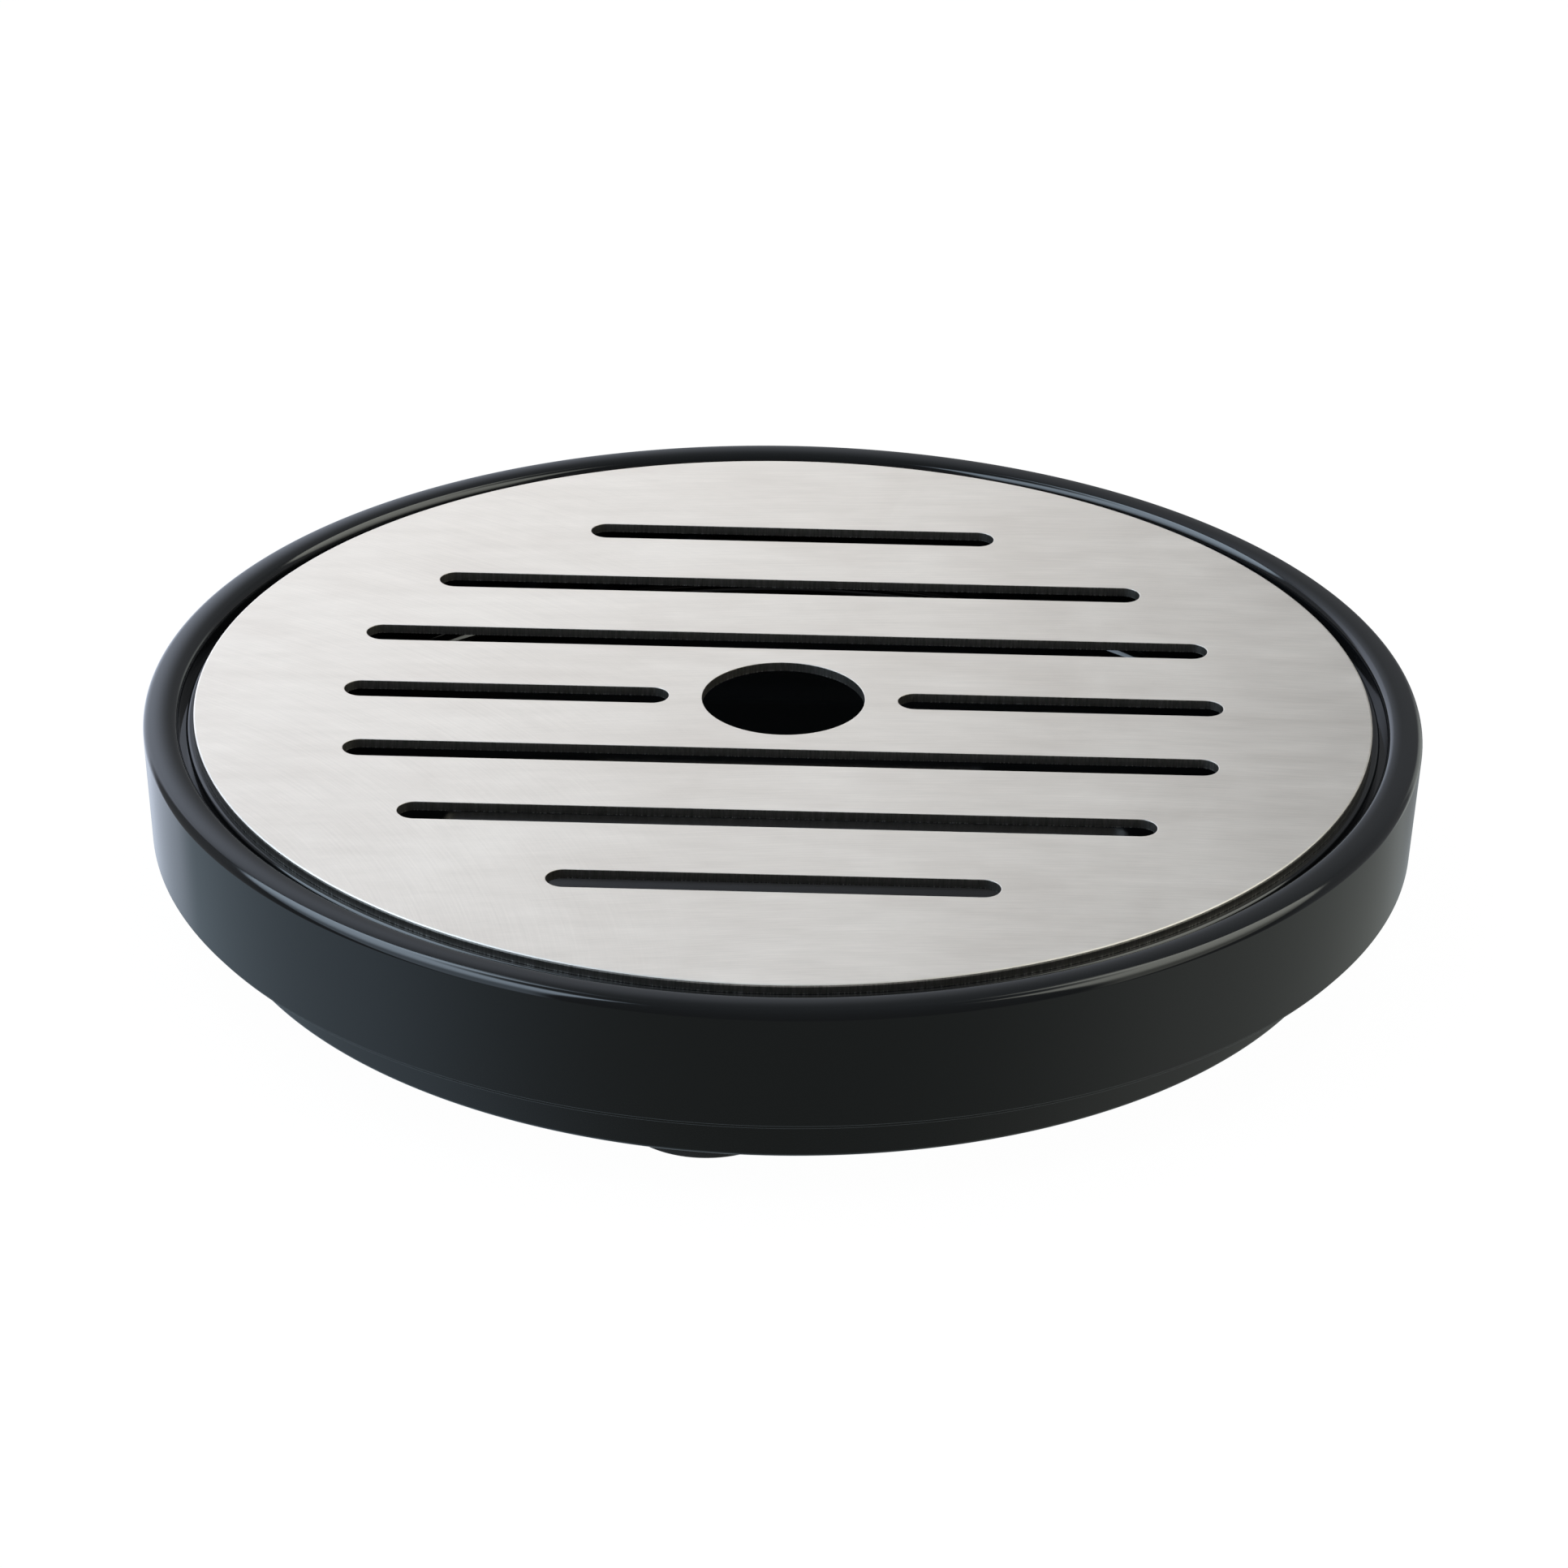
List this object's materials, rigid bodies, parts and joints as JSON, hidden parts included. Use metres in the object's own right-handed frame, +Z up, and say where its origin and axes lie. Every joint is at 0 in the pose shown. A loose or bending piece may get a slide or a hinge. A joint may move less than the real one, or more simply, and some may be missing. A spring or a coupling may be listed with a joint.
{
  "type": "drip tray",
  "caption": "Round low drip tray: slotted steel plate with a finger hole, lying flush in a glossy black body over a lift-out bowl, on soft feet.",
  "frame": {"origin": "centre of the surface that the feet stand on, under the middle of the tray", "axes": "+Z up, the slots of the plate run along X, and -Y is the front, where one foot stands 7 degrees to the left of the middle"},
  "size_m": [0.1572, 0.1572, 0.025],
  "materials": {
    "housing_black": "polished moulding, high gloss",
    "base_black": "semi-gloss moulding",
    "bowl_black": "polished moulding, high gloss",
    "plate_steel": "fine satin, laser-cut edges",
    "screw_steel": "plain zinc-plated",
    "foot_rubber": "matt"
  },
  "bodies": {
    "base": {"housing": "housing_black", "base_pan": "base_black", "base_screws": "screw_steel", "foot_front": "foot_rubber", "foot_right": "foot_rubber", "foot_back": "foot_rubber", "foot_left": "foot_rubber"},
    "bowl": {"drip_bowl": "bowl_black"},
    "plate": {"grille_plate": "plate_steel"}
  },
  "joints": [
    {"name": "bowl_lift", "type": "slide", "parent": "base", "child": "bowl", "axis": [0, 0, 1], "range_m": [0, 0.03]},
    {"name": "plate_lift", "type": "slide", "parent": "bowl", "child": "plate", "axis": [0, 0, 1], "range_m": [0, 0.03]}
  ]
}
